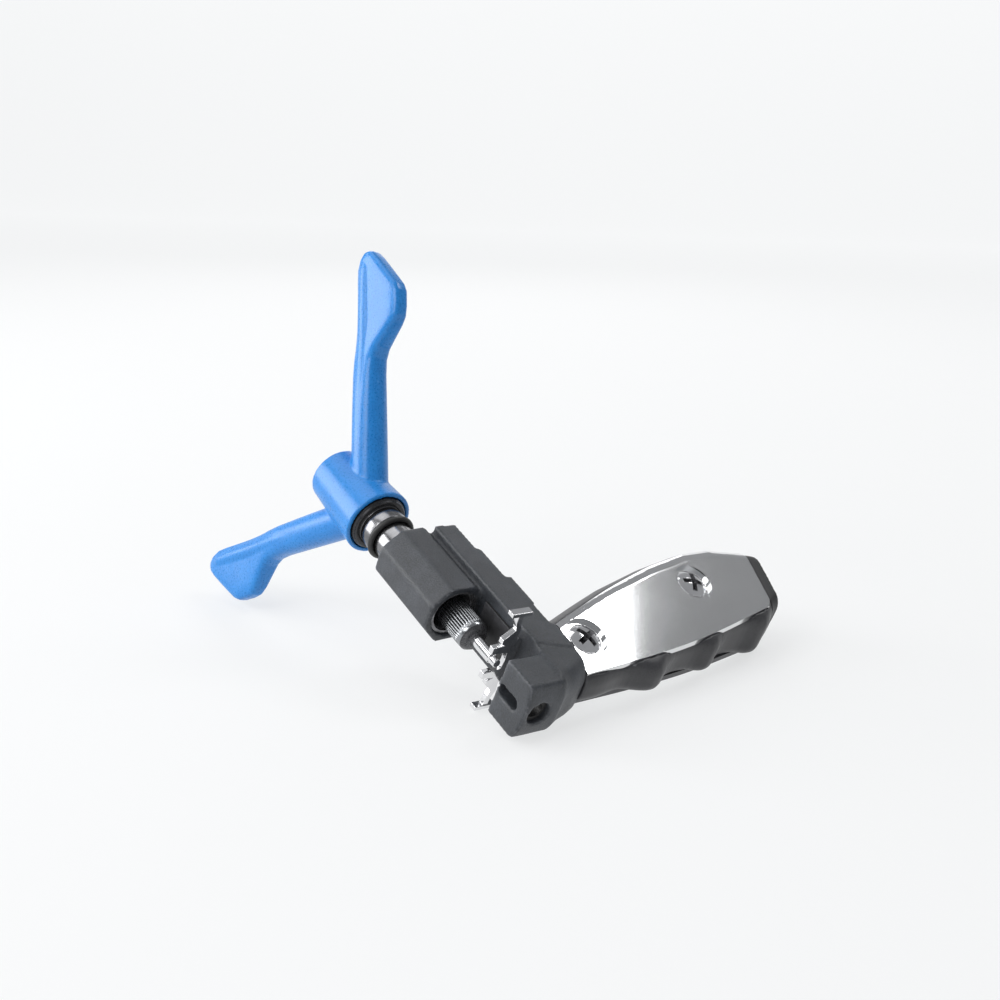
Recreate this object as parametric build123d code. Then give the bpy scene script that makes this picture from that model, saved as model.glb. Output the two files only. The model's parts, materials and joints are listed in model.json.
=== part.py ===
# Chain tool: a screw press that pushes the rivets out of a bicycle chain.
#
# The tool is drawn with the screw axis on X (pushing towards +X), the face that the chain is pressed against
# at x = 0, the chain slot open towards +Z and the grip hanging towards -Z.  The two halves of the tool are alike
# on either side of y = 0.  At the very end every piece is turned together, so that the tool lies on a table.
import os
from math import cos, radians, sin, tan

from build123d import *

# ---- die block, slot and barrel ----
die_length = 14.6          # along the screw, at the sides of the block
die_crown = 2.2            # how far the block's front face bulges in the middle
die_half_width = 11.7
die_top_z = 6.5
slot_length = 37.5         # from the die block to the barrel
barrel_length = 36.5
barrel_flats = 24.0        # across the flats of the eight-sided barrel
barrel_bore_r = 9.6
seal_recess_r = 10.5       # the barrel is opened out at its rear for the seal
seal_recess = 4.0
wall_z = -8.5              # floor of the slot, on the rail

# ---- rail and corner of the casting ----
rail_half_width = 13.2
corner_half_width = 12.4
rail_start = 1.4           # the rail begins this far in front of the barrel's rear face
rail_back = (-18.0, -20.0, -22.4, -21.4)  # its back steps outwards three times, then in again
rail_steps = (-57.0, -39.5, -24.0, -12.0)  # where each of those stretches ends
seam_z = -23.0             # where casting and grip core meet
rail_end = -5.2            # the thicker side of the rail ends here at the slot
rail_end_low = 1.2         # and here at the seam
edge_round = 2.0
corner_shape = ((-8.5, 16.4, 6.0), (-12.7, 15.0, 8.0), (-17.5, 13.6, 8.0), (-23.0, 11.2, 8.0))  # height, front, round

# ---- tang inside the grip ----
tang_length = 96.0
tang_half_width = 2.2
tang_depth = 15.0

# ---- grip ----
rake = 0.16                # how far the grip leans back for each millimetre of length
side_slope = 0.2235        # the sides spread towards the back by this much
side_y = 8.8               # half width of the core at x = 0, at the seam
grip_middle = 1.3          # the grip sits this far to the upper side of the screw
side_spread = 0.015        # and towards the end of the grip
front_round = 6.0
back_round = 8.0
ridge_z = -58.0            # first of the ridges between the fingers
ridge_x = 14.7
ridge_pitch = 32.5
ridge_count = 3
neck_x = 12.2              # front of the grip between the casting and the first ridge
groove_depth = 4.4
section_count = 48
groove_shape = ((0.30, 0.92), (0.62, 1.0), (0.84, 0.6))  # share of the pitch, and of the groove's depth there
grip_back = ((-23.0, -17.7), (-39.0, -23.1), (-55.0, -28.1), (-80.0, -33.9), (-104.0, -37.6), (-118.0, -37.5),
             (-135.0, -33.8), (-152.0, -28.5))
end_z = -131.0             # end of the core at x = 0
end_slope = 0.19           # the end is cut at this slant
end_cap_length = 5.6
end_screw_x = -18.0

# ---- side plates ----
plate_thickness = 2.4
plate_proud = 0.5
plate_front = ((10.4, -23.6), (9.1, -50.0), (6.2, -83.0), (2.2, -108.0), (-1.6, -128.6))
plate_end = ((-4.6, -131.2), (-27.0, -135.4))
plate_back = ((-30.4, -133.4), (-34.4, -118.0), (-34.1, -104.0), (-30.4, -84.0), (-24.0, -60.0), (-12.0, -23.6))
dish_r = 8.3
dish_depth = 1.5
plate_screws = ((-4.0, -32.8), (-18.7, -98.6))
screw_head_r = 6.6
screw_head_rise = 2.0
screw_shank_r = 2.4
screw_length = 5.5
insert_wall = 1.2

# ---- screw, cap and pin ----
screw_r = 8.0
running_gap = 0.06
screw_front = -35.4        # front end of the screw's nose
nose_r = 4.4
nose_length = 9.0
shoulder_r = 9.3
groove_r = 7.7
seal_section = 1.15
hub_front = -93.6
cap_r = 6.1
cap_front = -23.2
cap_length = 19.0
flute_count = 40
flute_depth = 0.35
pin_r = 2.2
pin_nose_r = 1.65
pin_tip = -9.6
pin_nose_length = 3.0
pin_head_r = 3.4
pin_head_length = 2.2

# ---- handle ----
hub_r = 15.1
hub_length = 33.0
hub_round = 3.0
hub_opening_r = 12.1
hub_recess = 3.0
drive_flats = 14.0
drive_length = 22.0
arm_x = -100.6             # where the arms' centre line meets the screw axis
arm_sweep = 41.7           # lean of the arms away from the tool
arm_turn = -11.7           # how the handle happens to stand
arm_length = 104.6
arm_root_r = 7.6
arm_end_r = 6.3
paddle_length = 48.6        # from the arm's tip back to where the paddle begins
paddle_start = arm_length - paddle_length
paddle_reach = 21.0        # from the arm's centre line to the paddle's front edge
paddle_back = 4.6
paddle_thickness = 8.0
paddle_front = (arm_length - 31.1, arm_length - 18.1)  # the straight front edge, measured along the arm
handle_bolt_r = 3.0
handle_bolt_head_r = 5.0
handle_bolt_head = 5.0
washer_r = 6.5
washer_thickness = 1.2

# ---- chain cradle ----
cradle_x = -12.6
cradle_thickness = 2.2
cradle_tooth = (3.6, 7.4)  # inner and outer side of each tooth
cradle_tooth_z = 3.6
cradle_elbow = (10.2, 0.6)
cradle_dip = (14.0, -3.6)
cradle_reach = 21.4
cradle_bar = (-7.6, 1.2)   # the cross bars at the ends of the arms, from and to
cradle_bar_thickness = 1.6
cradle_arm = 2.2
foot_thickness = 1.0
foot_back = -32.6
foot_half_width = 8.6
foot_screws = (-28.5, -19.0)
foot_screw_r = 1.9
foot_screw_head_r = 3.4

# ---- die block details ----
rivet_bore_r = 2.6
exit_bore_r = 3.2
bushing_r = 4.6
bushing_length = 3.4
window = (11.0, 4.6)
window_x = 6.1

# ---- lying on the table ----
rest_pitch = 22.288
rest_roll = 4.163

barrel_front = -slot_length
barrel_rear = barrel_front - barrel_length
screw_rear = hub_front - hub_recess - drive_length
nose_back = screw_front - nose_length


def along_x(radius, start, stop):
    """A round bar on the screw axis."""
    return Pos(start, 0, 0) * extrude(Plane.YZ * Circle(radius), stop - start)


def side_shape(points, half_width):
    """A flat outline in X and Z, made as wide as the tool is to both sides of y = 0."""
    return extrude(Plane.XZ * make_face(Polyline(*points, close=True)), half_width, both=True)


def half_width_at(x, z, proud=0.0):
    return side_y + proud - side_slope * x - side_spread * (z - seam_z)


# ---- casting ----

def plan_shape(half_width, back, front, crown, round_r):
    """Outline seen from the slot's side, with a bulging front and rounded corners, made tall."""
    outline = Line((back, -half_width), (front, -half_width))
    outline += ThreePointArc((front, -half_width), (front + crown, 0), (front, half_width))
    outline += Polyline((front, half_width), (back, half_width), (back, -half_width))
    face = make_face(outline)
    corners = face.vertices().sort_by(Axis.X)[-2:]
    return Pos(0, 0, 2 * seam_z) * extrude(fillet(corners, round_r), -4 * seam_z)


def die_block():
    sides = ((0, wall_z - 1), (die_length + die_crown, wall_z - 1), (die_length + die_crown, die_top_z),
             (0, die_top_z))
    plan = plan_shape(die_half_width, -1, die_length, die_crown, edge_round)
    return side_shape(sides, rail_half_width) & plan


def rounded_section(z, front, back, widths, rounds):
    """Level section of the tool: half widths and corner rounding, each for front and back."""
    face = make_face(Polyline((front, -widths[0]), (front, widths[0]), (back, widths[1]), (back, -widths[1]),
                              close=True))
    corners = face.vertices().sort_by(Axis.X)
    if rounds[1]:
        face = fillet(corners[:2], rounds[1])
    corners = face.vertices().sort_by(Axis.X)
    return Pos(0, 0, z) * fillet(corners[-2:], min(rounds[0], 0.9 * widths[0]))


def corner():
    widths = (corner_half_width, corner_half_width)
    sections = [rounded_section(z, front, rail_steps[-1] - 1, widths, (round_r, 0))
                for z, front, round_r in corner_shape]
    return loft(sections, ruled=True)


def rail():
    points = [(barrel_rear + rail_start, wall_z)]
    start = barrel_rear + rail_start
    for depth, stop in zip(rail_back, rail_steps):
        points += [(start, depth), (stop, depth)]
        start = stop
    points += [(start, seam_z), (rail_end_low, seam_z), (rail_end, wall_z)]
    return side_shape(points, rail_half_width)


def tang():
    top, depth = seam_z + 2, seam_z - tang_length
    lean = rake * (top - depth)
    front = -3.0 + tang_depth / 2
    outline = ((front, top), (front - lean, depth), (front - lean - tang_depth, depth), (front - tang_depth, top))
    return side_shape(outline, tang_half_width)


def tool_body():
    octagon = Plane.YZ * RegularPolygon(barrel_flats / 2, 8, major_radius=False, rotation=22.5)
    body = Pos(barrel_rear, 0, 0) * extrude(octagon, barrel_length)
    body += rail() + corner() + die_block() + Pos(0, grip_middle, 0) * tang()
    body -= along_x(barrel_bore_r, barrel_rear - 1, barrel_front + 1)
    body -= along_x(seal_recess_r, barrel_rear - 1, barrel_rear + seal_recess)
    body -= along_x(rivet_bore_r, -1, die_length)
    body -= along_x(bushing_r, die_length - bushing_length - 0.4, die_length + 5)
    body -= Pos(window_x, 0, 0) * extrude(SlotOverall(*window), die_top_z + 1)
    for x in foot_screws:
        body -= Pos(x, 0, wall_z - 20) * extrude(Circle(foot_screw_r), 21)
        body -= Pos(x, 0, rail_back[-1] - 3) * extrude(Circle(foot_screw_head_r), 5.4)
    body -= Pos(0, grip_middle, 0) * end_cap_screw_hole()
    return body


def exit_bushing():
    start = die_length - bushing_length - 0.4
    return along_x(bushing_r, start, start + bushing_length) - along_x(exit_bore_r, start - 1, die_length + 5)


def barrel_bushing():
    return (along_x(barrel_bore_r, barrel_rear + seal_recess, barrel_front - 2.6)
            - along_x(screw_r + running_gap, barrel_rear, barrel_front))


def retaining_ring():
    start = barrel_front - 2.6
    return along_x(barrel_bore_r, start, start + 1.4) - along_x(screw_r + 0.4, start - 1, start + 3)


# ---- screw, cap and pin ----

def drive_screw():
    screw = along_x(screw_r, hub_front + 10.6, nose_back)
    screw += along_x(nose_r, nose_back, screw_front)
    screw += along_x(groove_r, hub_front + 8.2, hub_front + 10.7)
    screw += along_x(shoulder_r, hub_front - hub_recess, hub_front + 8.2)
    drive = Plane.YZ * RegularPolygon(drive_flats / 2, 6, major_radius=False)
    screw += Rot(arm_turn, 0, 0) * Pos(screw_rear, 0, 0) * extrude(drive, drive_length)
    screw -= along_x(handle_bolt_r, screw_rear - 1, screw_rear + 14)
    return screw


def screw_seal():
    middle = hub_front + 9.4
    ring = Pos(middle, 0, 0) * Rot(0, 90, 0) * Torus(groove_r + seal_section, seal_section)
    return ring


def screw_collar():
    return (along_x(hub_opening_r - 0.5, hub_front - hub_recess, hub_front + 1.6)
            - along_x(shoulder_r, hub_front - hub_recess - 1, hub_front + 3))


def pin_cap():
    back = cap_front - cap_length
    cap = along_x(cap_r, back, cap_front)
    groove = Rot(45, 0, 0) * Box(cap_length - 3.4, flute_depth * 2, flute_depth * 2)
    cap -= [Rot(360 / flute_count * i, 0, 0) * Pos((back + cap_front) / 2, cap_r, 0) * groove
            for i in range(flute_count)]
    cap -= along_x(nose_r, back - 1, screw_front)
    cap -= along_x(pin_head_r + running_gap, screw_front - 1, screw_front + pin_head_length + 2 * running_gap)
    cap -= along_x(pin_r + running_gap, screw_front, cap_front + 1)
    return cap


def drive_pin():
    head = screw_front + running_gap
    pin = along_x(pin_head_r, head, head + pin_head_length)
    pin += along_x(pin_r, head, pin_tip - pin_nose_length)
    pin += along_x(pin_nose_r, pin_tip - pin_nose_length, pin_tip)
    return pin


# ---- handle ----

def arm_frame():
    """Plane of one arm: x along the arm, y towards the tool, origin on the screw axis."""
    sweep = radians(arm_sweep)
    out = Vector(-sin(sweep), cos(sweep), 0)
    return Plane(origin=(arm_x, 0, 0), x_dir=out, z_dir=(0, 0, -1))


def paddle():
    start, stop = paddle_front
    outline = Polyline((paddle_start - 14, -paddle_back + 0.6), (arm_length - 5, -paddle_back),
                       (arm_length, -paddle_back + 5), (arm_length, 3.4), (stop + 1.5, paddle_reach),
                       (start - 0.5, paddle_reach - 0.8), (paddle_start + 2, arm_end_r), (paddle_start - 14, arm_end_r),
                       close=True)
    face = make_face(outline)
    rounded = fillet(face.vertices().sort_by(Axis.X)[2:], 3.2)
    return extrude(rounded, paddle_thickness / 2, both=True)


def arm():
    shaft = Pos(arm_length / 2 - 20, 0, 0) * Rot(0, 90, 0) * Cone(arm_root_r, arm_end_r, arm_length - 50)
    return shaft + paddle()


def handle():
    hub = along_x(hub_r, hub_front - hub_length, hub_front)
    hub = fillet(hub.edges().filter_by(GeomType.CIRCLE), hub_round)
    one = arm_frame() * arm()
    grip = hub + one + Rot(180, 0, 0) * one
    grip -= along_x(hub_opening_r, hub_front - hub_recess, hub_front + 1)
    socket = Plane.YZ * RegularPolygon(drive_flats / 2, 6, major_radius=False)
    grip -= Pos(screw_rear, 0, 0) * extrude(socket, drive_length)
    grip -= along_x(handle_bolt_r, hub_front - hub_length - 1, screw_rear + 1)
    grip -= along_x(washer_r, hub_front - hub_length - 1, bolt_seat())
    return Rot(arm_turn, 0, 0) * grip


def bolt_seat():
    return hub_front - hub_length + handle_bolt_head + washer_thickness - 1.0


def handle_washer():
    seat = bolt_seat()
    return along_x(washer_r, seat - washer_thickness, seat) - along_x(handle_bolt_r, seat - 5, seat + 1)


def handle_bolt():
    under = bolt_seat() - washer_thickness
    bolt = along_x(handle_bolt_head_r, under - handle_bolt_head, under)
    bolt += along_x(handle_bolt_r, under, screw_rear + 12)
    key = Plane.YZ * RegularPolygon(2.5, 6, major_radius=False)
    bolt -= Pos(under - handle_bolt_head - 1, 0, 0) * extrude(key, 4)
    return bolt


# ---- chain cradle ----

def chain_cradle():
    inner, outer = cradle_tooth
    elbow_y, elbow_z = cradle_elbow
    dip_y, dip_z = cradle_dip
    half = [(0, wall_z), (foot_half_width, wall_z), (elbow_y, elbow_z - 2 * cradle_arm - 1.5),
            (dip_y, dip_z - cradle_arm), (cradle_reach - 4, -4.6), (cradle_reach, -4.4),
            (cradle_reach, -4.4 + cradle_arm), (cradle_reach - 4, -4.6 + cradle_arm), (dip_y, dip_z),
            (elbow_y, elbow_z), (outer + 1, elbow_z), (outer, elbow_z - 2), (outer - 0.4, cradle_tooth_z),
            (inner + 0.8, cradle_tooth_z), (inner, -pin_r - 1.4), (0, -pin_r - 1.8)]
    face = make_face(Polyline(*half, close=True))
    upright = extrude(Plane.YZ * face, cradle_thickness)
    low, high = cradle_bar
    bar = Pos(cradle_thickness / 2, cradle_reach, (low + high) / 2) * Box(cradle_thickness + 0.8,
                                                                       cradle_bar_thickness, high - low)
    upright += bar
    upright = Pos(cradle_x, 0, 0) * (upright + mirror(upright, Plane.XZ))
    foot = Pos((foot_back + cradle_x) / 2, 0, wall_z + foot_thickness / 2) * Box(
        cradle_x - foot_back + 0.5, 2 * foot_half_width, foot_thickness)
    cradle = upright + foot
    for x in foot_screws:
        cradle -= Pos(x, 0, wall_z - 1) * extrude(Circle(foot_screw_r - 0.4), foot_thickness + 2)
    return cradle


def cradle_screws():
    head_top = rail_back[-1] + 2.4
    screws = []
    for x in foot_screws:
        screw = Pos(x, 0, head_top - 2) * extrude(Circle(foot_screw_head_r - 0.2), 2)
        screw += Pos(x, 0, head_top) * extrude(Circle(foot_screw_r - 0.4), wall_z + foot_thickness - head_top)
        screw -= Pos(x, 0, head_top - 2.5) * extrude(RegularPolygon(1.5, 6), 1.8)
        screws.append(screw)
    return Compound(screws)


# ---- grip ----

def crest_x(z):
    return ridge_x - rake * (ridge_z - z)


def core_front():
    """Points down the front of the grip: a ridge, then the groove below it, and so on."""
    points = [(neck_x, seam_z), (neck_x, seam_z - 10), (neck_x - 1.0, seam_z - 24)]
    for i in range(ridge_count):
        z = ridge_z - i * ridge_pitch
        points.append((crest_x(z), z))
        for along, deep in groove_shape:
            low = z - along * ridge_pitch
            points.append((crest_x(low) - deep * groove_depth, low))
    return points


def grip_section(z, front, proud):
    """Section of the grip at one height, grown sideways by the given amount."""
    for (high, back_high), (low, back_low) in zip(grip_back, grip_back[1:]):
        back = back_high + (back_low - back_high) * (high - z) / (high - low)
        if z >= low:
            break
    widths = (half_width_at(front, z, proud), half_width_at(back, z, proud))
    return rounded_section(z, front, back, widths, (front_round, back_round))


def plate_envelope():
    """Sides and rounded back of the grip with the plates on, clear of the plates at the front."""
    return loft([grip_section(z, ridge_x + front_round, plate_proud) for z, _ in grip_back], ruled=True)


def end_plane(offset):
    return Plane(origin=(0, 0, end_z), x_dir=(1, 0, end_slope), z_dir=(end_slope, 0, -1)).offset(offset)


def grip_shape():
    front = Spline(*core_front())
    sections = []
    for i in range(section_count + 1):
        spot = front @ (i / section_count)
        sections.append(grip_section(spot.Y, spot.X, 0.0))
    return loft(sections, ruled=True)


def beyond_end(offset):
    plane = end_plane(offset)
    return extrude(plane * Rectangle(120, 120), 40)


def plate_prism():
    """The plate's outline seen from the side, through the upper half of the grip."""
    front = Spline(*plate_front)
    back = Spline(*plate_back)
    outline = front + Polyline(front @ 1, *plate_end, back @ 0) + back + Line(back @ 1, front @ 0)
    return extrude(Plane.XZ * make_face(outline), -30)


def screw_frame(spot, raised=0.0):
    """Plane on the side plate's face at one screw, looking out of the plate."""
    x, z = spot
    normal = Vector(side_slope, 1, side_spread)
    return Plane(origin=Vector(x, half_width_at(x, z, plate_proud + raised), z), z_dir=normal, x_dir=(1, 0, 0.0001))


def plate_screw_holes():
    holes = []
    for spot in plate_screws:
        plane = screw_frame(spot)
        holes.append(extrude(plane.offset(-dish_depth - 0.1) * Circle(dish_r), dish_depth + 2))
        holes.append(extrude(plane.offset(-6) * Circle(screw_shank_r + 0.3), 6))
    return holes


def above_plate_back():
    """Everything outside the flat back of the upper plate."""
    normal = Vector(side_slope, 1, side_spread)
    level = half_width_at(0, seam_z, plate_proud - plate_thickness)
    return extrude(Plane(origin=(0, level, seam_z), z_dir=normal, x_dir=(1, -side_slope, 0)) * Rectangle(300, 300), 40)


def side_plate():
    return (plate_prism() & plate_envelope() & above_plate_back()) - plate_screw_holes()


def insert_frame(spot):
    return screw_frame(spot).offset(-plate_thickness - 0.05)


def insert(spot):
    plane = insert_frame(spot)
    return (extrude(plane * Circle(screw_shank_r + insert_wall), -screw_length + 1)
            - extrude(plane * Circle(screw_shank_r), -screw_length))


def plate_screw(spot):
    seat = screw_frame(spot).offset(-dish_depth - 0.05)
    dome_r = (screw_head_r ** 2 + screw_head_rise ** 2) / (2 * screw_head_rise)
    ball = seat.offset(screw_head_rise - dome_r) * Sphere(dome_r)
    head = extrude(seat * Circle(screw_head_r), screw_head_rise + 0.1) & ball
    screw = head + extrude(seat * Circle(screw_shank_r), -screw_length + 1.5)
    for turn in (0, 90):
        screw -= seat.offset(screw_head_rise) * Rot(0, 0, turn) * Box(5.4, 1.3, 2.6)
    return screw


def both_sides(solids):
    """The same solids on the upper and on the lower side of the grip."""
    lower = [half for solid in solids for half in mirror(solid, Plane.XZ).solids()]
    return Compound(solids), Compound(lower)


def end_cap_screw_hole():
    plane = end_plane(0)
    return plane * Pos(end_screw_x, 0, 0) * Pos(0, 0, -30) * extrude(Circle(1.7), 31)


def grip_core():
    core = grip_shape() - beyond_end(0)
    pocket = plate_prism() & above_plate_back()
    inserts = [extrude(insert_frame(spot).offset(1) * Circle(screw_shank_r + insert_wall), -screw_length)
               for spot in plate_screws]
    for cut in [pocket, *inserts]:
        core -= cut
        core -= mirror(cut, Plane.XZ)
    core -= tang()
    core -= end_cap_screw_hole()
    return core


def grip_end_cap():
    cap = (grip_shape() - beyond_end(end_cap_length)) & beyond_end(0)
    plane = end_plane(end_cap_length)
    cap -= plane * Pos(end_screw_x, 0, -2.2) * extrude(Circle(3.4), 4)
    cap -= plane * Pos(end_screw_x, 0, -8) * extrude(Circle(1.7), 9)
    return cap


def end_cap_screw():
    plane = end_plane(end_cap_length - 2.2)
    screw = plane * Pos(end_screw_x, 0, 0) * extrude(Circle(3.2), 1.8)
    screw += plane * Pos(end_screw_x, 0, -22) * extrude(Circle(1.7), 22)
    screw -= plane * Pos(end_screw_x, 0, 0.6) * Box(5.0, 1.0, 2.6)
    return screw


def lay_down(pieces):
    """Turn every piece into the tool's resting place, standing on z = 0 about the middle of its base."""
    turned = {}
    rest = Rot(0, rest_pitch, 0) * Rot(90 - rest_roll, 0, 0)
    for name, piece in pieces.items():
        turned[name] = rest * piece
    box = Compound(list(turned.values())).bounding_box()
    middle = box.center()
    shift = Pos(-middle.X, -middle.Y, -box.min.Z)
    return {name: shift * piece for name, piece in turned.items()}


def main():
    upper_plate, lower_plate = both_sides([side_plate()])
    upper_screws, lower_screws = both_sides([plate_screw(spot) for spot in plate_screws])
    upper_inserts, lower_inserts = both_sides([insert(spot) for spot in plate_screws])
    on_grip = Pos(0, grip_middle, 0)
    pieces = {
        "tool_body": tool_body(),
        "exit_bushing": exit_bushing(),
        "barrel_bushing": barrel_bushing(),
        "retaining_ring": retaining_ring(),
        "drive_screw": drive_screw(),
        "screw_seal": screw_seal(),
        "screw_collar": screw_collar(),
        "pin_cap": pin_cap(),
        "drive_pin": drive_pin(),
        "handle": handle(),
        "handle_washer": handle_washer(),
        "handle_bolt": handle_bolt(),
        "chain_cradle": chain_cradle(),
        "cradle_screws": cradle_screws(),
        "grip_core": on_grip * grip_core(),
        "upper_side_plate": on_grip * upper_plate,
        "lower_side_plate": on_grip * lower_plate,
        "upper_plate_screws": on_grip * upper_screws,
        "lower_plate_screws": on_grip * lower_screws,
        "upper_inserts": on_grip * upper_inserts,
        "lower_inserts": on_grip * lower_inserts,
        "grip_end_cap": on_grip * grip_end_cap(),
        "end_cap_screw": on_grip * end_cap_screw(),
    }
    os.makedirs("parts", exist_ok=True)
    for name, piece in lay_down(pieces).items():
        export_step(piece, f"parts/{name}.step")


main()
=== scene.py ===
import json
from math import cos, sin, pi, radians, sqrt

import bmesh
import bpy
from mathutils import Matrix, Vector


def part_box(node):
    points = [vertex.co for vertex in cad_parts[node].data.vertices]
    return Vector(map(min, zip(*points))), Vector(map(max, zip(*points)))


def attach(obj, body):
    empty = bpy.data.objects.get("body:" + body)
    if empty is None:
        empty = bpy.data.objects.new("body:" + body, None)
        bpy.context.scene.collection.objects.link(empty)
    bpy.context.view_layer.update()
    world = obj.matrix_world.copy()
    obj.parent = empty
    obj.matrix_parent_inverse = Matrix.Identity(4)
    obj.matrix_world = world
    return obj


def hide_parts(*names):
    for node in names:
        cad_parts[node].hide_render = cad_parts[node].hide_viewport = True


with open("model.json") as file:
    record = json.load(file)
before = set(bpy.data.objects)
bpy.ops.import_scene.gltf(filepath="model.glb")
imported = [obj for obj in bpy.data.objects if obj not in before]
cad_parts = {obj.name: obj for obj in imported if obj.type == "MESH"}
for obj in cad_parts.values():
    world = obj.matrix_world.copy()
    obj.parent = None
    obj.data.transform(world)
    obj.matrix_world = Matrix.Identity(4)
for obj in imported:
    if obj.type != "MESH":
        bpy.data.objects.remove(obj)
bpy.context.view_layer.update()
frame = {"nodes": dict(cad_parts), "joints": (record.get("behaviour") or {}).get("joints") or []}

# The tool is drawn in millimetres with the screw on X, the chain slot open to +Z and the grip towards -Z,
# then laid on the table in the same way as the solids are.
lying = dict(pitch=22.288, roll=4.163, screwPoint=-60.0)


def layOnTable():
    joint = [j for j in frame["joints"] if j["name"] == "screw_turn"][0]
    turn = Matrix.Rotation(radians(lying["pitch"]), 4, "Y") @ Matrix.Rotation(radians(90 - lying["roll"]), 4, "X")
    point = Vector(joint["pos_m"]) - turn @ Vector((lying["screwPoint"] / 1000, 0, 0))
    return Matrix.Translation(point) @ turn @ Matrix.Scale(0.001, 4)


toTable = layOnTable()
print("frame ready")


# making and placing meshes

def meshFrom(name, verts, faces):
    mesh = bpy.data.meshes.new(name)
    mesh.from_pydata([tuple(v) for v in verts], [], faces)
    mesh.validate()
    tidy = bmesh.new()
    tidy.from_mesh(mesh)
    bmesh.ops.remove_doubles(tidy, verts=tidy.verts, dist=1e-5)
    bmesh.ops.recalc_face_normals(tidy, faces=tidy.faces)
    tidy.to_mesh(mesh)
    tidy.free()
    piece = bpy.data.objects.new(name, mesh)
    bpy.context.scene.collection.objects.link(piece)
    return piece


def joinPieces(pieces, name):
    joined = bmesh.new()
    for piece in pieces:
        joined.from_mesh(piece.data)
        bpy.data.objects.remove(piece)
    mesh = bpy.data.meshes.new(name)
    joined.to_mesh(mesh)
    joined.free()
    piece = bpy.data.objects.new(name, mesh)
    bpy.context.scene.collection.objects.link(piece)
    return piece


def place(piece, body, finish, slot, *nodes):
    piece.data.materials.clear()
    for part in (finish if isinstance(finish, list) else [finish]):
        piece.data.materials.append(part)
    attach(piece, body)
    if nodes:
        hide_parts(*nodes)
    return piece


def mark(piece, test):
    # gives the faces that pass the test the piece's second finish; the test gets the face's middle and
    # direction as the tool is drawn
    back = toTable.inverted()
    turn = back.to_3x3().normalized()
    for face in piece.data.polygons:
        face.material_index = 1 if test(back @ face.center, turn @ face.normal) else 0


def settle(piece):
    # applies the piece's modifiers
    graph = bpy.context.evaluated_depsgraph_get()
    made = bpy.data.meshes.new_from_object(piece.evaluated_get(graph))
    old = piece.data
    piece.modifiers.clear()
    piece.data = made
    bpy.data.meshes.remove(old)
    return piece


def smoothShade(piece, angle=35):
    piece.data.shade_smooth()
    piece.data.set_sharp_from_angle(angle=radians(angle))
    return piece


def copyOf(node, name):
    # a clean copy of a solid's mesh, with its flat faces whole again
    mesh = frame["nodes"][node].data.copy()
    tidy = bmesh.new()
    tidy.from_mesh(mesh)
    bmesh.ops.remove_doubles(tidy, verts=tidy.verts, dist=2e-6)
    bmesh.ops.dissolve_limit(tidy, angle_limit=radians(0.6), verts=tidy.verts, edges=tidy.edges)
    bmesh.ops.recalc_face_normals(tidy, faces=tidy.faces)
    tidy.to_mesh(mesh)
    tidy.free()
    for layer in [a.name for a in mesh.attributes if a.name == "custom_normal"]:
        mesh.attributes.remove(mesh.attributes[layer])
    piece = bpy.data.objects.new(name, mesh)
    bpy.context.scene.collection.objects.link(piece)
    return piece


def roundEdges(piece, width, segments=3, angle=30):
    bevel = piece.modifiers.new("edges", "BEVEL")
    bevel.width = width
    bevel.segments = segments
    bevel.limit_method = "ANGLE"
    bevel.angle_limit = radians(angle)
    bevel.use_clamp_overlap = True
    bevel.harden_normals = False
    normals = piece.modifiers.new("normals", "WEIGHTED_NORMAL")
    normals.keep_sharp = False
    piece.data.shade_smooth()
    return settle(piece)


def castSkin(piece, grain, passes, factor=0.5):
    # one skin over everything, with softened corners, as a casting has
    skin = piece.modifiers.new("skin", "REMESH")
    skin.mode = "VOXEL"
    skin.voxel_size = grain
    skin.use_smooth_shade = True
    soft = piece.modifiers.new("soft", "SMOOTH")
    soft.factor = factor
    soft.iterations = passes
    settle(piece)
    piece.data.shade_smooth()
    return piece


def ringFaces(rows, around):
    # the faces between rings of points that follow one another
    faces = []
    for k in range(rows - 1):
        for i in range(around):
            j = (i + 1) % around
            faces.append((k * around + i, k * around + j, (k + 1) * around + j, (k + 1) * around + i))
    return faces


def turned(profile, around=96):
    # rings of points about the screw's axis; the profile lists x and radius
    verts = []
    for x, r in profile:
        for i in range(around):
            a = 2 * pi * i / around
            verts.append((x, r * cos(a), r * sin(a)))
    return verts, ringFaces(len(profile), around)


def eased(profile, radius, steps=4):
    # rounds the corners of an open profile
    result = [profile[0]]
    for before, here, after in zip(profile, profile[1:], profile[2:]):
        b, h, a = Vector(before), Vector(here), Vector(after)
        lengthIn, lengthOut = (b - h).length, (a - h).length
        r = min(radius, 0.45 * lengthIn, 0.45 * lengthOut)
        first, last = h + (b - h).normalized() * r, h + (a - h).normalized() * r
        for i in range(steps + 1):
            t = i / steps
            result.append(tuple(first * (1 - t) ** 2 + h * (2 * t * (1 - t)) + last * t ** 2))
    result.append(profile[-1])
    return result


def turnedPiece(name, profile, radius=0.25, around=96):
    verts, faces = turned(eased(profile, radius), around)
    piece = meshFrom(name, verts, faces)
    piece.data.transform(toTable)
    return smoothShade(piece)


# finishes

def newFinish(name, **values):
    finish = bpy.data.materials.new(name)
    finish.use_nodes = True
    nodes = finish.node_tree.nodes
    shader = nodes["Principled BSDF"]
    for socket, value in values.items():
        shader.inputs[socket.replace("_", " ")].default_value = value
    return finish, nodes, finish.node_tree.links, shader


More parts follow.
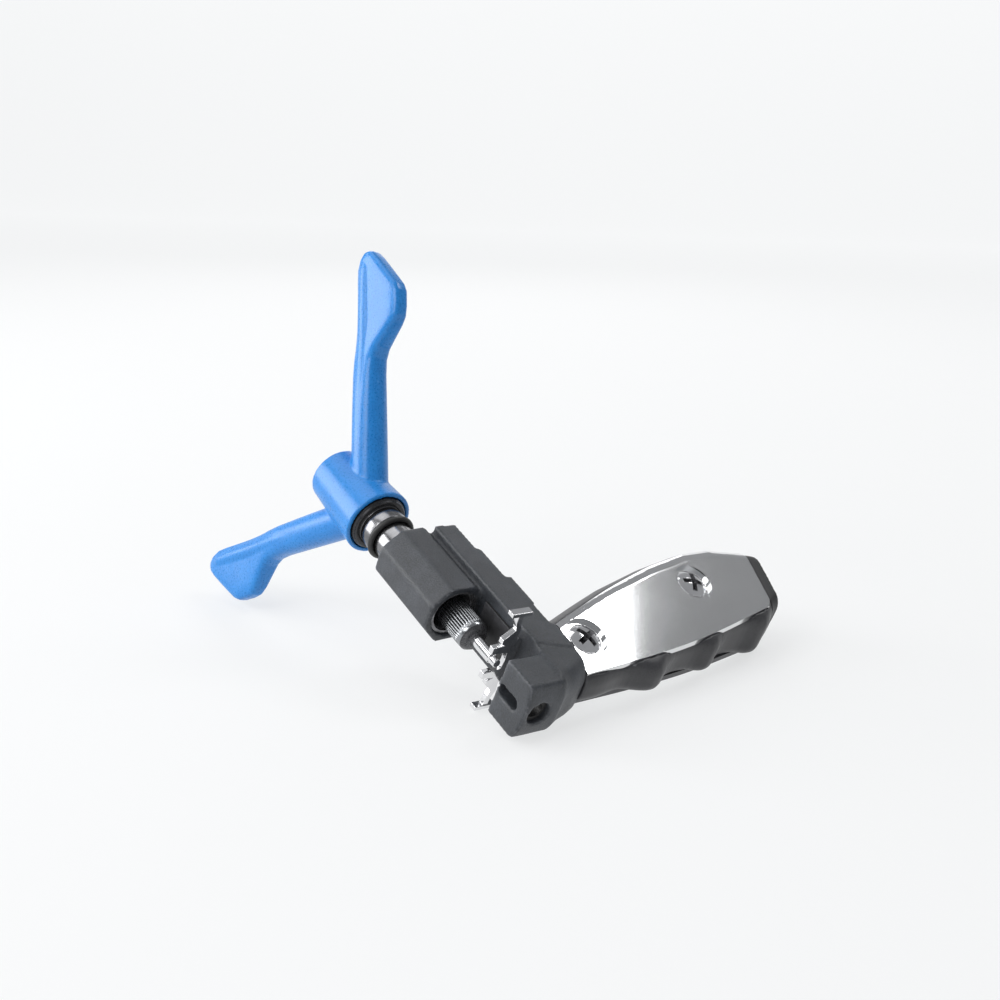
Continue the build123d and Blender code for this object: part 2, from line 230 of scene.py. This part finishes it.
def grainNoise(nodes, links, scale, detail=4.0, rough=0.6, stretch=None):
    spot = nodes.new("ShaderNodeTexCoord")
    noise = nodes.new("ShaderNodeTexNoise")
    noise.inputs["Scale"].default_value = scale
    noise.inputs["Detail"].default_value = detail
    noise.inputs["Roughness"].default_value = rough
    if stretch:
        mapping = nodes.new("ShaderNodeMapping")
        mapping.inputs["Scale"].default_value = stretch
        mapping.inputs["Rotation"].default_value = (0, radians(lying["pitch"]), 0)
        links.new(spot.outputs["Object"], mapping.inputs["Vector"])
        links.new(mapping.outputs["Vector"], noise.inputs["Vector"])
    else:
        links.new(spot.outputs["Object"], noise.inputs["Vector"])
    return noise


def ramp(nodes, links, source, *stops):
    made = nodes.new("ShaderNodeValToRGB")
    made.color_ramp.elements[0].position, made.color_ramp.elements[0].color = stops[0][0], (*stops[0][1], 1)
    made.color_ramp.elements[1].position, made.color_ramp.elements[1].color = stops[-1][0], (*stops[-1][1], 1)
    for position, colour in stops[1:-1]:
        made.color_ramp.elements.new(position).color = (*colour, 1)
    links.new(source, made.inputs["Fac"])
    return made


def between(nodes, links, source, low, high, fromLow=0.0, fromHigh=1.0):
    made = nodes.new("ShaderNodeMapRange")
    made.inputs["From Min"].default_value = fromLow
    made.inputs["From Max"].default_value = fromHigh
    made.inputs["To Min"].default_value = low
    made.inputs["To Max"].default_value = high
    links.new(source, made.inputs["Value"])
    return made


def addBump(nodes, links, shader, source, strength, depth):
    bump = nodes.new("ShaderNodeBump")
    bump.inputs["Strength"].default_value = strength
    bump.inputs["Distance"].default_value = depth
    links.new(source, bump.inputs["Height"])
    links.new(bump.outputs["Normal"], shader.inputs["Normal"])
    return bump


def mixed(nodes, links, factor, first, second):
    made = nodes.new("ShaderNodeMix")
    made.data_type = "RGBA"
    links.new(factor, made.inputs["Factor"])
    links.new(first, made.inputs["A"])
    links.new(second, made.inputs["B"])
    return made


def coatedFinish(name, colours, grain, depth, strength, roughness, wearAndHighlight, wearAndHighlightAt=(0.52, 0.60), metal=0.0):
    # grained coat over metal, lighter at its sharp edges: partly worn edges, partly painted edge highlight
    finish, nodes, links, shader = newFinish(name, Metallic=metal)
    patches = grainNoise(nodes, links, 90, 5)
    coat = ramp(nodes, links, patches.outputs["Fac"], (0.32, colours[0]), (0.5, colours[1]), (0.7, colours[2]))
    fine = grainNoise(nodes, links, grain, 3, 0.7)
    speck = ramp(nodes, links, fine.outputs["Fac"], (0.35, [c * 0.8 for c in colours[1]]), (0.65, colours[2]))
    body = nodes.new("ShaderNodeMix")
    body.data_type = "RGBA"
    body.inputs["Factor"].default_value = 0.6
    links.new(coat.outputs["Color"], body.inputs["A"])
    links.new(speck.outputs["Color"], body.inputs["B"])
    shape = nodes.new("ShaderNodeNewGeometry")
    wearAndHighlightNoise = grainNoise(nodes, links, 420, 3)
    # sharp edges, found by pointiness, are lightened in patches: partly wear, partly painted edge highlight
    edge = between(nodes, links, shape.outputs["Pointiness"], 0.0, 1.0, *wearAndHighlightAt)
    wearAndHighlightMask = nodes.new("ShaderNodeMath")
    wearAndHighlightMask.operation = "MULTIPLY"
    links.new(edge.outputs["Result"], wearAndHighlightMask.inputs[0])
    links.new(wearAndHighlightNoise.outputs["Fac"], wearAndHighlightMask.inputs[1])
    wearAndHighlightColour = ramp(nodes, links, wearAndHighlightNoise.outputs["Fac"], (0.3, [c * 0.8 for c in wearAndHighlight]), (0.7, wearAndHighlight))
    colour = mixed(nodes, links, wearAndHighlightMask.outputs["Value"], body.outputs["Result"], wearAndHighlightColour.outputs["Color"])
    links.new(colour.outputs["Result"], shader.inputs["Base Color"])
    shine = between(nodes, links, fine.outputs["Fac"], roughness[0], roughness[1], 0.3, 0.7)
    links.new(shine.outputs["Result"], shader.inputs["Roughness"])
    addBump(nodes, links, shader, fine.outputs["Fac"], strength, depth)
    return finish


def steelFinish(name, colours, roughness, scale, stretch, depth, strength=0.3):
    # ground or polished metal with fine lines
    finish, nodes, links, shader = newFinish(name, Metallic=1.0)
    patches = grainNoise(nodes, links, 60, 4)
    tone = ramp(nodes, links, patches.outputs["Fac"], (0.3, colours[0]), (0.7, colours[1]))
    links.new(tone.outputs["Color"], shader.inputs["Base Color"])
    lines = grainNoise(nodes, links, scale, 3, 0.6, stretch)
    shine = between(nodes, links, lines.outputs["Fac"], roughness[0], roughness[1], 0.3, 0.7)
    links.new(shine.outputs["Result"], shader.inputs["Roughness"])
    addBump(nodes, links, shader, lines.outputs["Fac"], strength, depth)
    return finish


castBlack = coatedFinish("castBlack", [(0.017, 0.019, 0.022), (0.028, 0.031, 0.036), (0.066, 0.073, 0.086)], 1500,
                         0.00020, 0.75, (0.34, 0.55), (0.34, 0.35, 0.38), (0.535, 0.60))
# the handle's edges turn a lighter blue instead of bare metal: painted edge highlight
powderBlue = coatedFinish("powderBlue", [(0.006, 0.170, 0.53), (0.009, 0.205, 0.61), (0.018, 0.250, 0.69)], 1100,
                          0.00010, 0.30, (0.24, 0.36), (0.10, 0.38, 0.84), (0.53, 0.64))
gripBlack = coatedFinish("gripBlack", [(0.022, 0.022, 0.024), (0.032, 0.032, 0.035), (0.052, 0.052, 0.057)], 1800,
                         0.00010, 0.50, (0.32, 0.48), (0.26, 0.26, 0.28), (0.515, 0.60))
endBlack = coatedFinish("endBlack", [(0.010, 0.010, 0.011), (0.015, 0.015, 0.016), (0.024, 0.024, 0.026)], 1800,
                        0.00008, 0.40, (0.42, 0.58), (0.10, 0.10, 0.11), (0.54, 0.66))
sealRubber = coatedFinish("sealRubber", [(0.012, 0.012, 0.012), (0.02, 0.02, 0.02), (0.03, 0.03, 0.03)], 1500,
                          0.00005, 0.3, (0.35, 0.55), (0.05, 0.05, 0.05))
blackSteel = coatedFinish("blackSteel", [(0.020, 0.020, 0.021), (0.035, 0.035, 0.037), (0.055, 0.055, 0.058)], 1200,
                          0.00005, 0.25, (0.22, 0.38), (0.4, 0.4, 0.42), (0.53, 0.62), 0.6)
turnedSteel = steelFinish("turnedSteel", ((0.50, 0.50, 0.51), (0.70, 0.70, 0.72)), (0.16, 0.30), 900, (6, 0.4, 0.4),
                          0.00003)
capSteel = steelFinish("capSteel", ((0.27, 0.28, 0.29), (0.40, 0.41, 0.43)), (0.16, 0.28), 900, (6, 0.4, 0.4),
                       0.00003)
shaftSteel = steelFinish("shaftSteel", ((0.13, 0.13, 0.135), (0.32, 0.32, 0.33)), (0.12, 0.26), 900, (6, 0.4, 0.4),
                         0.00003)
polishedSteel = steelFinish("polishedSteel", ((0.72, 0.72, 0.73), (0.86, 0.86, 0.87)), (0.06, 0.14), 500, (1, 1, 1),
                            0.00002, 0.15)
brassFinish = steelFinish("brassFinish", ((0.52, 0.36, 0.14), (0.68, 0.50, 0.22)), (0.2, 0.32), 600, (5, 0.5, 0.5),
                          0.00003)


def plateFinish():
    # mirror polish near the head that turns satin towards the end of the grip
    finish, nodes, links, shader = newFinish("plateChrome", Metallic=1.0)
    patches = grainNoise(nodes, links, 45, 4)
    tone = ramp(nodes, links, patches.outputs["Fac"], (0.3, (0.74, 0.745, 0.75)), (0.7, (0.84, 0.845, 0.85)))
    links.new(tone.outputs["Color"], shader.inputs["Base Color"])
    spot = nodes.new("ShaderNodeTexCoord")
    split = nodes.new("ShaderNodeSeparateXYZ")
    links.new(spot.outputs["Object"], split.inputs["Vector"])
    low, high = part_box("upper_side_plate")
    along = between(nodes, links, split.outputs["Y"], 0.05, 0.12, low.y + 0.02, high.y - 0.01)
    fine = grainNoise(nodes, links, 2600, 2, 0.7)
    grit = between(nodes, links, fine.outputs["Fac"], -0.02, 0.05, 0.3, 0.7)
    total = nodes.new("ShaderNodeMath")
    total.operation = "ADD"
    links.new(along.outputs["Result"], total.inputs[0])
    links.new(grit.outputs["Result"], total.inputs[1])
    links.new(total.outputs["Value"], shader.inputs["Roughness"])
    addBump(nodes, links, shader, fine.outputs["Fac"], 0.10, 0.00002)
    return finish


plateChrome = plateFinish()
print("finishes ready")


# casting
casting = dict(grain=0.00080, passes=2)

body = copyOf("tool_body", "castBody")
castSkin(body, casting["grain"], casting["passes"])
place(body, "tool", castBlack, "casting", "tool_body")
print("casting done")

# grip
grip = dict(grain=0.00050, passes=8)

core = copyOf("grip_core", "gripCore")
castSkin(core, grip["grain"] * (1), grip["passes"])
place(core, "tool", gripBlack, "grip_plastic", "grip_core")
cap = copyOf("grip_end_cap", "gripEndCap")
castSkin(cap, grip["grain"], 6)
place(cap, "tool", endBlack, "grip_plastic", "grip_end_cap")

plates = dict(edge=0.00055, rimAt=0.9)
for side in ("upper", "lower"):
    plate = copyOf(f"{side}_side_plate", f"{side}Plate")
    roundEdges(plate, plates["edge"], 3, 25)
    place(plate, "tool", [plateChrome, gripBlack], "chrome", f"{side}_side_plate")
    if side == "lower":
        # its rim and inner faces take the grip's black finish; only its outer face is chrome
        mark(plate, lambda spot, way: way.y > -plates["rimAt"])
print("grip done")


# handle
handleSizes = dict(
    hubFront=-93.6, hubBack=-126.6, hubRadius=15.0, mouthRadius=12.1, mouthDepth=3.0, seatRadius=6.5, seatX=-121.4,
    backRim=5.0, frontRim=2.2,
    armX=-100.6, sweep=41.7, turn=-11.7,
    # along the arm: back edge, front edge, half thickness, squareness
    sections=((2, -7.5, 7.5, 7.3, 2.0), (20, -7.2, 7.2, 7.0, 2.1), (40, -6.8, 6.8, 6.4, 2.3), (54, -6.3, 6.5, 5.7, 2.7),
              (60, -5.8, 7.0, 5.2, 3.0), (64, -5.3, 9.0, 4.9, 3.2), (68, -5.0, 13.0, 4.6, 3.5),
              (72, -4.8, 17.0, 4.3, 3.8), (75, -4.7, 19.1, 4.1, 4.0), (79, -4.6, 19.7, 4.0, 4.2),
              (85, -4.6, 19.7, 4.0, 4.2), (88, -4.6, 18.4, 3.9, 4.2), (92, -4.6, 15.0, 3.9, 4.0),
              (97, -4.4, 10.6, 3.8, 3.8), (101, -3.0, 7.0, 3.6, 3.4), (103.4, -1.0, 4.6, 3.0, 3.0),
              (104.4, 0.2, 2.6, 1.4, 2.4)),
    # along the rib: its middle line and radius
    rib=((4, 0.0, 7.1), (54, 0.1, 5.9), (70, 0.4, 5.1), (88, 0.35, 4.7), (97, 0.45, 4.4), (100.2, 0.5, 3.6),
         (101.8, 0.5, 2.2)),
    around=48, grain=0.00045, passes=3)


def armTube(rings, flip):
    # a closed tube along one arm; each ring has its place along the arm, middle, half width, half thickness
    # and squareness
    s = handleSizes
    lean = radians(s["sweep"])
    out, front = Vector((-sin(lean), cos(lean), 0)), Vector((cos(lean), sin(lean), 0))
    n, rows = s["around"], len(rings)
    verts = []
    for along, middle, half, thick, square in rings:
        for i in range(n):
            a = 2 * pi * i / n
            ca, sa = cos(a), sin(a)
            u = abs(ca) ** (2 / square) * (1 if ca >= 0 else -1)
            v = abs(sa) ** (2 / square) * (1 if sa >= 0 else -1)
            spot = Vector((s["armX"], 0, thick * v)) + out * along + front * (middle + half * u)
            verts.append((spot.x, spot.y * flip, spot.z * flip))
    ends = [tuple(range(n)), tuple((rows - 1) * n + i for i in range(n))]
    return verts, ringFaces(rows, n) + ends


def armMesh(flip):
    rings = [(along, (back + ahead) / 2, (ahead - back) / 2, thick, square)
             for along, back, ahead, thick, square in handleSizes["sections"]]
    return armTube(rings, flip)


def shaftMesh(flip):
    # the round shaft, which runs on as a rib along the paddle's back edge
    return armTube([(along, middle, r, r, 2.0) for along, middle, r in handleSizes["rib"]], flip)


def roundHub(hub):
    # rounds the hub's rims: more at the back than at the mouth
    s = handleSizes
    for v in hub.data.vertices:
        r = sqrt(v.co.y ** 2 + v.co.z ** 2)
        for x, size, way in ((s["hubBack"], s["backRim"], 1), (s["hubFront"], s["frontRim"], -1)):
            gap = (v.co.x - x) * way
            if r > 0.1 and gap < size:
                top = s["hubRadius"] - size + sqrt(max(size ** 2 - (size - max(gap, 0)) ** 2, 0))
                if r > top:
                    v.co.y *= top / r
                    v.co.z *= top / r


def handlePiece():
    s = handleSizes
    hub = eased([(s["seatX"], 0.001), (s["seatX"], s["seatRadius"]), (s["hubBack"], s["seatRadius"]),
                 (s["hubBack"], s["hubRadius"]), (s["hubFront"], s["hubRadius"]), (s["hubFront"], s["mouthRadius"]),
                 (s["hubFront"] - s["mouthDepth"], s["mouthRadius"]), (s["hubFront"] - s["mouthDepth"], 0.001)], 0.3)
    parts = [turned(hub, 120), armMesh(1), armMesh(-1), shaftMesh(1), shaftMesh(-1)]
    pieces = [meshFrom(f"handlePart{i}", verts, faces) for i, (verts, faces) in enumerate(parts)]
    roundHub(pieces[0])
    piece = joinPieces(pieces, "handle2Arm")
    piece.data.transform(toTable @ Matrix.Rotation(radians(s["turn"]), 4, "X"))
    castSkin(piece, s["grain"] * (1), s["passes"])
    return piece


place(handlePiece(), "screw", powderBlue, "handle_paint", "handle")
print("handle done")


# screw, collar, seal, cap and pin
screwSizes = dict(radius=8.0, front=-35.4, noseBack=-44.4, noseRadius=4.4, shoulderRadius=9.3, grooveRadius=7.7,
                  shoulderBack=-96.6, shoulderFront=-85.4, grooveFront=-82.9, tailBack=-118.6, tailRadius=6.9,
                  neck=(-92.4, -92.0, -90.4, -90.0), neckRadius=8.7,
                  threadBack=-73.9, threadFront=-45.4, pitch=1.5, depth=0.75, rowsPerTurn=10,
                  darkBands=((-120.0, -92.05), (-90.35, -88.2), (-85.5, -82.85), (-81.0, -78.5)))


def screwPiece():
    s = screwSizes
    start, stop, around = s["threadBack"], s["threadFront"], 72
    rows = int((stop - start) / s["pitch"] * s["rowsPerTurn"])
    verts = []
    for k in range(rows + 1):
        x = start + (stop - start) * k / rows
        fade = min(1.0, k / 6, (rows - k) / 6)
        for i in range(around):
            a = 2 * pi * i / around
            phase = ((x / s["pitch"] - a / (2 * pi)) % 1.0)
            tooth = min(1.0, abs(phase - 0.5) * 3.2)
            r = s["radius"] - s["depth"] * fade * (1 - tooth) - 0.02
            verts.append((x, r * cos(a), r * sin(a)))
    faces = ringFaces(rows + 1, around)
    neckStart, neckIn, neckOut, neckEnd = s["neck"]
    back = [(s["tailBack"], 0.001), (s["tailBack"], s["tailRadius"]), (s["shoulderBack"], s["tailRadius"]),
            (s["shoulderBack"], s["shoulderRadius"]), (neckStart, s["shoulderRadius"]), (neckIn, s["neckRadius"]),
            (neckOut, s["neckRadius"]), (neckEnd, s["shoulderRadius"]), (s["shoulderFront"], s["shoulderRadius"]),
            (s["shoulderFront"], s["grooveRadius"]), (s["grooveFront"], s["grooveRadius"]),
            (s["grooveFront"], s["radius"]), (start, s["radius"])]
    front = [(stop, s["radius"]), (s["noseBack"], s["radius"] - 0.9), (s["noseBack"], s["noseRadius"]),
             (s["front"], s["noseRadius"]), (s["front"], 0.001)]
    for profile in (back, front):
        endVerts, endFaces = turned(eased(profile, 0.2, 3), around)
        shift = len(verts)
        verts += endVerts
        faces += [tuple(i + shift for i in face) for face in endFaces]
    piece = meshFrom("driveScrew", verts, faces)
    piece.data.transform(toTable)
    return smoothShade(piece, 40)


screw = screwPiece()
place(screw, "screw", [shaftSteel, blackSteel], "steel", "drive_screw")
mark(screw, lambda spot, way: any(low < spot.x < high for low, high in screwSizes["darkBands"]))

collarSizes = dict(profile=[(-96.6, 9.3), (-96.6, 11.6), (-93.4, 11.6), (-92.9, 11.0), (-92.3, 11.0), (-92.0, 10.6),
                            (-92.0, 9.3), (-96.6, 9.3)])
collar = turnedPiece("screwCollar", collarSizes["profile"], 0.3)
place(collar, "screw", blackSteel, "dark_steel", "screw_collar")

sealSizes = dict(x=-84.2, radius=8.85, thick=1.15, steps=24)
seal = turnedPiece("screwSeal", [(sealSizes["x"] + sealSizes["thick"] * cos(a / sealSizes["steps"] * 2 * pi),
                                  sealSizes["radius"] + sealSizes["thick"] * sin(a / sealSizes["steps"] * 2 * pi))
                                 for a in range(sealSizes["steps"] + 1)], 0.01)
place(seal, "screw", sealRubber, "seal_rubber", "screw_seal")

capSizes = dict(back=-42.2, front=-23.2, radius=6.05, flutes=34, depth=0.55, chamfer=1.5, boreFront=2.28, nose=4.42)


def capPiece():
    s = capSizes
    profile = [(s["back"], s["nose"]), (s["back"], s["radius"] - 0.6), (s["back"] + 0.6, s["radius"]),
               (s["back"] + 1.4, s["radius"])]
    body = [(s["back"] + 1.4 + (s["front"] - s["back"] - 1.4 - 3.4) * k / 12, s["radius"]) for k in range(13)]
    end = [(s["front"] - 2.6, s["radius"] - 0.05), (s["front"] - s["chamfer"], s["radius"] - 0.15),
           (s["front"], s["radius"] - s["chamfer"]), (s["front"], s["boreFront"]), (s["front"] - 6, s["boreFront"])]
    rows = profile + body + end
    around = s["flutes"] * 8
    verts, marks = [], []
    for k, (x, r) in enumerate(rows):
        fluted = len(profile) < k < len(profile) + len(body) - 1
        for i in range(around):
            a = 2 * pi * i / around
            dip = s["depth"] * (0.5 - 0.5 * cos(s["flutes"] * a)) ** 2 if fluted else 0
            verts.append((x, (r - dip) * cos(a), (r - dip) * sin(a)))
    for k in range(len(rows) - 1):
        fluted = len(profile) < k < len(profile) + len(body) - 2
        for i in range(around):
            # the hollows between the flutes get the dark finish as painted shade; the front chamfer, face and bore also
            # take the dark finish
            groove = fluted and cos(s["flutes"] * 2 * pi * (i + 0.5) / around) < -0.35
            marks.append(1 if k >= len(rows) - 4 or groove else 0)
    mesh = bpy.data.meshes.new("pinCap")
    mesh.from_pydata(verts, [], ringFaces(len(rows), around))
    mesh.polygons.foreach_set("material_index", marks)
    mesh.transform(toTable)
    piece = bpy.data.objects.new("pinCap", mesh)
    bpy.context.scene.collection.objects.link(piece)
    return smoothShade(piece, 50)


capOnPin = capPiece()
marks = [p.material_index for p in capOnPin.data.polygons]
place(capOnPin, "screw", [capSteel, blackSteel], "steel", "pin_cap")
capOnPin.data.polygons.foreach_set("material_index", marks)

pinSizes = dict(profile=[(-35.34, 0.001), (-35.34, 3.4), (-33.14, 3.4), (-33.14, 2.2), (-12.9, 2.2), (-12.5, 1.65),
                         (-9.9, 1.65), (-9.62, 1.4), (-9.62, 0.001)])
pin = turnedPiece("drivePin", pinSizes["profile"], 0.15, 64)
place(pin, "pin", polishedSteel, "steel", "drive_pin")
print("screw and pin done")


# cradle and fasteners
cradle = copyOf("chain_cradle", "chainCradle")
roundEdges(cradle, 0.00045, 3, 30)
place(cradle, "tool", [polishedSteel, endBlack], "chrome", "chain_cradle")
# the foot that is screwed down is black, and is made darker still as painted shade of the slot it sits in
mark(cradle, lambda spot, way: spot.x < -12.75)

screwHeads = dict(headRadius=6.5, rise=1.9, shank=2.35, length=4.0, armLength=11.5, armWidth=2.3, armDepth=2.3,
                  sideY=8.8, slope=0.2235, spread=0.015, seamZ=-23.0, proud=0.5, dish=1.5, middle=1.3,
                  spots=((-4.0, -32.8), (-18.7, -98.6)), turns=(24, 67))


def plateScrew(spot, side, turn, name):
    s = screwHeads
    dome = (s["headRadius"] ** 2 + s["rise"] ** 2) / (2 * s["rise"])
    profile = [(-s["length"], 0.001), (-s["length"], s["shank"]), (0, s["shank"]), (0, s["headRadius"] - 0.5),
               (0.25, s["headRadius"])]
    for k in range(15):
        r = (s["headRadius"] - 0.15) * (1 - k / 14)
        profile.append((s["rise"] + 0.1 - dome + sqrt(dome ** 2 - r ** 2), max(r, 0.001)))
    verts, faces = turned(profile, 96)
    piece = meshFrom(name, verts, faces)
    cutter = bmesh.new()
    for quarter in (0, 90):
        arm = bmesh.ops.create_cube(cutter, size=1.0)["verts"]
        for v in arm:
            deep = v.co.x < 0
            x = s["rise"] + 1.0 if not deep else s["rise"] - s["armDepth"]
            shrink = 0.55 if deep else 1.0
            y, z = v.co.y * s["armLength"] * shrink, v.co.z * s["armWidth"] * (0.8 if deep else 1.0)
            v.co = Matrix.Rotation(radians(quarter), 3, "X") @ Vector((x, y, z))
    mesh = bpy.data.meshes.new("cross")
    cutter.to_mesh(mesh)
    cutter.free()
    cross = bpy.data.objects.new("cross", mesh)
    bpy.context.scene.collection.objects.link(cross)
    cut = piece.modifiers.new("cross", "BOOLEAN")
    cut.object = cross
    cut.operation = "DIFFERENCE"
    cut.solver = "EXACT"
    cut.use_self = True
    settle(piece)
    bpy.data.objects.remove(cross)
    roundEdges(piece, 0.12, 2, 40)
    for face in piece.data.polygons:
        # the cross recess gets a dark finish as painted shade, the dome is polished
        out, r = face.center.x, sqrt(face.center.y ** 2 + face.center.z ** 2)
        surface = s["rise"] + 0.1 - dome + sqrt(dome ** 2 - min(r, dome) ** 2)
        inCross = -0.6 < out < surface - 0.16 and r < s["headRadius"] * 0.72
        face.material_index = 1 if inCross else 0
    x, z = spot
    level = s["sideY"] + s["proud"] - s["slope"] * x - s["spread"] * (z - s["seamZ"])
    normal = Vector((s["slope"], 1, s["spread"])).normalized()
    base = Vector((x, level, z)) - normal * (s["dish"] + 0.05)
    upright = Vector((1, 0, 0)) - normal * normal.x
    upright.normalize()
    third = normal.cross(upright)
    seat = Matrix((normal, upright, third)).transposed().to_4x4()
    seat.translation = base
    mirror = Matrix.Scale(side, 4, (0, 1, 0))
    lift = Matrix.Translation((0, s["middle"], 0))
    piece.data.transform(toTable @ lift @ mirror @ seat @ Matrix.Rotation(radians(turn), 4, "X"))
    if side < 0:
        piece.data.flip_normals()
    return piece


for side, sign in (("upper", 1), ("lower", -1)):
    heads = [plateScrew(spot, sign, turn, f"{side}Head")
             for spot, turn in zip(screwHeads["spots"], screwHeads["turns"])]
    pair = smoothShade(joinPieces(heads, f"{side}PlateScrews"), 40)
    marks = [face.material_index for face in pair.data.polygons]
    place(pair, "tool", [polishedSteel, blackSteel], "chrome", f"{side}_plate_screws")
    pair.data.polygons.foreach_set("material_index", marks)

kept = dict(exit_bushing=sealRubber, barrel_bushing=blackSteel, retaining_ring=blackSteel, handle_washer=turnedSteel,
            handle_bolt=blackSteel, cradle_screws=blackSteel, upper_inserts=brassFinish, lower_inserts=brassFinish,
            end_cap_screw=blackSteel)
for node, finish in kept.items():
    solid = frame["nodes"][node]
    solid.data.materials.clear()
    solid.data.materials.append(finish)
print("cradle and fasteners done")


# table, light and camera
studio = dict(floorTone=0.24, glow=0.675, farGlow=0.785, wallAt=1.9, bend=0.5, wallTop=0.9, side=7.0, near=9.0,
              darkWay=(0.028, 0.8085, 0.588), room=0.34, darkRoom=0.24)


def studioFloor():
    s = studio
    # a sheet that lies flat under the tool and curves up behind it, away from the camera
    out = Vector((-0.776, 0.631, 0)).normalized()
    across = Vector((-out.y, out.x, 0))
    line = [(-s["near"], 0.0), (0.0, 0.0), (s["wallAt"], 0.0)]
    for i in range(1, 17):
        a = i / 16 * pi / 2
        line.append((s["wallAt"] + s["bend"] * sin(a), s["bend"] * (1 - cos(a))))
    line.append((s["wallAt"] + s["bend"], s["wallTop"]))
    verts, faces = [], []
    for far, high in line:
        for wide in (-s["side"], s["side"]):
            spot = out * far + across * wide
            verts.append((spot.x, spot.y, high - 0.0002))
    for k in range(len(line) - 1):
        faces.append((2 * k, 2 * k + 1, 2 * k + 3, 2 * k + 2))
    piece = meshFrom("studioFloor", verts, faces)
    piece.data.shade_smooth()
    finish, nodes, links, shader = newFinish("paper", Roughness=0.9)
    shade = grainNoise(nodes, links, 1.5, 2)
    tone = s["floorTone"]
    paper = ramp(nodes, links, shade.outputs["Fac"],
                 (0.3, (tone * 0.995, tone, tone)), (0.7, (tone, tone, tone * 1.005)))
    links.new(paper.outputs["Color"], shader.inputs["Base Color"])
    shader.inputs["Specular IOR Level"].default_value = 0.05
    shader.inputs["Emission Color"].default_value = (0.985, 0.995, 1.0, 1)
    # the far end, which the lamps reach less, glows a little more
    spot = nodes.new("ShaderNodeTexCoord")
    far = nodes.new("ShaderNodeVectorMath")
    far.operation = "DOT_PRODUCT"
    far.inputs[1].default_value = out
    links.new(spot.outputs["Object"], far.inputs[0])
    glow = between(nodes, links, far.outputs["Value"], s["glow"], s["farGlow"], 0.1, 1.9)
    links.new(glow.outputs["Result"], shader.inputs["Emission Strength"])
    piece.data.materials.append(finish)
    return piece


studioFloor()


def softLight(name, place, target, size, power):
    light = bpy.data.lights.new(name, "AREA")
    light.shape = "RECTANGLE"
    light.size, light.size_y = size
    light.energy = power
    holder = bpy.data.objects.new(name, light)
    bpy.context.scene.collection.objects.link(holder)
    holder.location = place
    holder.rotation_euler = (Vector(target) - Vector(place)).to_track_quat("-Z", "Y").to_euler()
    return holder


lamps = dict(
    plateLight=dict(place=(0.138, 0.878, 1.259), target=(0.078, 0.02, 0.03), size=(0.52, 0.52), power=4.6),
    leftLight=dict(place=(-0.80, -0.86, 0.42), target=(-0.02, -0.03, 0.04), size=(0.7, 0.75), power=8.8),
    frontLight=dict(place=(0.10, -1.05, 0.90), target=(0, 0, 0.02), size=(0.8, 0.6), power=7.5),
    topLight=dict(place=(-0.5, -0.2, 1.2), target=(0, 0, 0), size=(0.9, 0.9), power=4.0),
    backLight=dict(place=(-0.9, 0.6, 0.6), target=(0, 0, 0.02), size=(0.6, 0.6), power=1.5))

for name, lamp in lamps.items():
    softLight(name, **lamp)

world = bpy.data.worlds.new("studio")
world.use_nodes = True
# a darker patch of the room, which the far half of the side plate mirrors
sky = world.node_tree
sky.nodes["Background"].inputs["Color"].default_value = (0.95, 0.97, 1.0, 1)
lookup = sky.nodes.new("ShaderNodeTexCoord")
toward = sky.nodes.new("ShaderNodeVectorMath")
toward.operation = "DOT_PRODUCT"
toward.inputs[1].default_value = studio["darkWay"]
sky.links.new(lookup.outputs["Generated"], toward.inputs[0])
level = between(sky.nodes, sky.links, toward.outputs["Value"], studio["room"], studio["darkRoom"], 0.95, 0.995)
# low down the room is as pale as the floor
height = sky.nodes.new("ShaderNodeSeparateXYZ")
sky.links.new(lookup.outputs["Generated"], height.inputs["Vector"])
low = between(sky.nodes, sky.links, height.outputs["Z"], studio["glow"], 0.0, 0.05, 0.12)
brighter = sky.nodes.new("ShaderNodeMath")
brighter.operation = "MAXIMUM"
sky.links.new(level.outputs["Result"], brighter.inputs[0])
sky.links.new(low.outputs["Result"], brighter.inputs[1])
sky.links.new(brighter.outputs["Value"], sky.nodes["Background"].inputs["Strength"])
bpy.context.scene.world = world
bpy.context.scene.view_settings.view_transform = "Standard"

view = dict(place=(0.450739, -0.347606, 0.211243), turn=(74.5779, -1.8628, 53.0466), lens=52.184)
camera = bpy.data.objects.new("camera", bpy.data.cameras.new("camera"))
camera.data.lens = view["lens"]
camera.data.sensor_width = 36
camera.data.clip_start = 0.01
camera.location = view["place"]
camera.rotation_euler = [radians(a) for a in view["turn"]]
bpy.context.scene.collection.objects.link(camera)
bpy.context.scene.camera = camera
print("studio ready")
